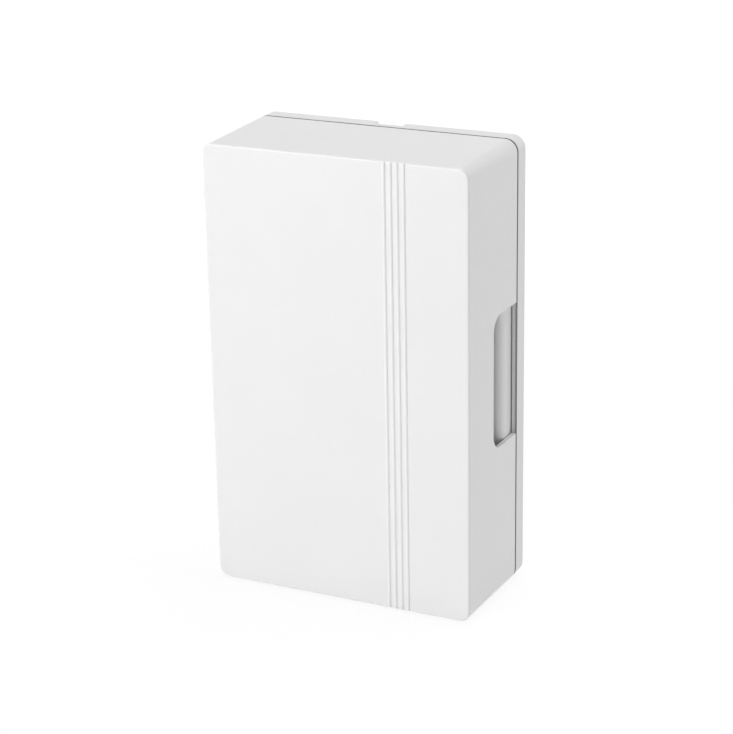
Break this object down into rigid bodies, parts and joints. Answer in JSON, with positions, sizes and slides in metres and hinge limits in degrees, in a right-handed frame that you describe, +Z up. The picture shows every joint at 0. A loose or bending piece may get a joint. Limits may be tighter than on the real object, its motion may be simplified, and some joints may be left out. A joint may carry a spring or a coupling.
{
  "type": "doorbell chime box",
  "caption": "Wall-mounted two-tone door chime: a white clip-fitted cover with side sound slots over a shallow tray that holds a solenoid, a plunger and steel tone bars.",
  "frame": {"origin": "middle of the tray's back face, which lies on the wall", "axes": "+X to the right as seen from the room, +Y into the wall, +Z up along the box's height"},
  "size_m": [0.115, 0.0546, 0.187],
  "materials": {
    "cover_plastic": "satin moulded white",
    "tray_plastic": "satin moulded white",
    "bar_steel": "zinc plated, faint grain along the bar",
    "bush_rubber": "matt",
    "clip_steel": "bright spring steel",
    "yoke_steel": "zinc plated sheet",
    "bobbin_nylon": "natural nylon",
    "winding_copper": "enamelled copper wire under clear tape",
    "core_steel": "turned and plated",
    "tip_nylon": "white nylon",
    "screw_steel": "zinc plated",
    "terminal_nylon": "natural nylon",
    "cage_brass": "drawn brass",
    "lead_sleeve": "soft sleeving"
  },
  "bodies": {
    "tray": {"base_tray": "tray_plastic", "tone_bar_left": "bar_steel", "tone_bar_right": "bar_steel", "bar_bushes": "bush_rubber", "bar_clips": "clip_steel", "solenoid_yoke": "yoke_steel", "yoke_plate": "yoke_steel", "coil_bobbin": "bobbin_nylon", "coil_winding": "winding_copper", "return_spring": "clip_steel", "yoke_screws": "screw_steel", "terminal_body": "terminal_nylon", "terminal_cages": "cage_brass", "terminal_screws": "screw_steel", "coil_lead_left": "lead_sleeve", "coil_lead_right": "lead_sleeve"},
    "cover": {"cover": "cover_plastic"},
    "plunger": {"plunger_core": "core_steel", "striker_tip_left": "tip_nylon", "striker_tip_right": "tip_nylon"}
  },
  "joints": [
    {"name": "cover_pull", "type": "slide", "parent": "tray", "child": "cover", "axis": [0, -1, 0], "range_m": [0, 0.06]},
    {"name": "plunger_slide", "type": "slide", "parent": "tray", "child": "plunger", "axis": [1, 0, 0], "range_m": [-0.004, 0.006], "stiffness_N_per_m": 73, "deforming": ["return_spring"]}
  ]
}
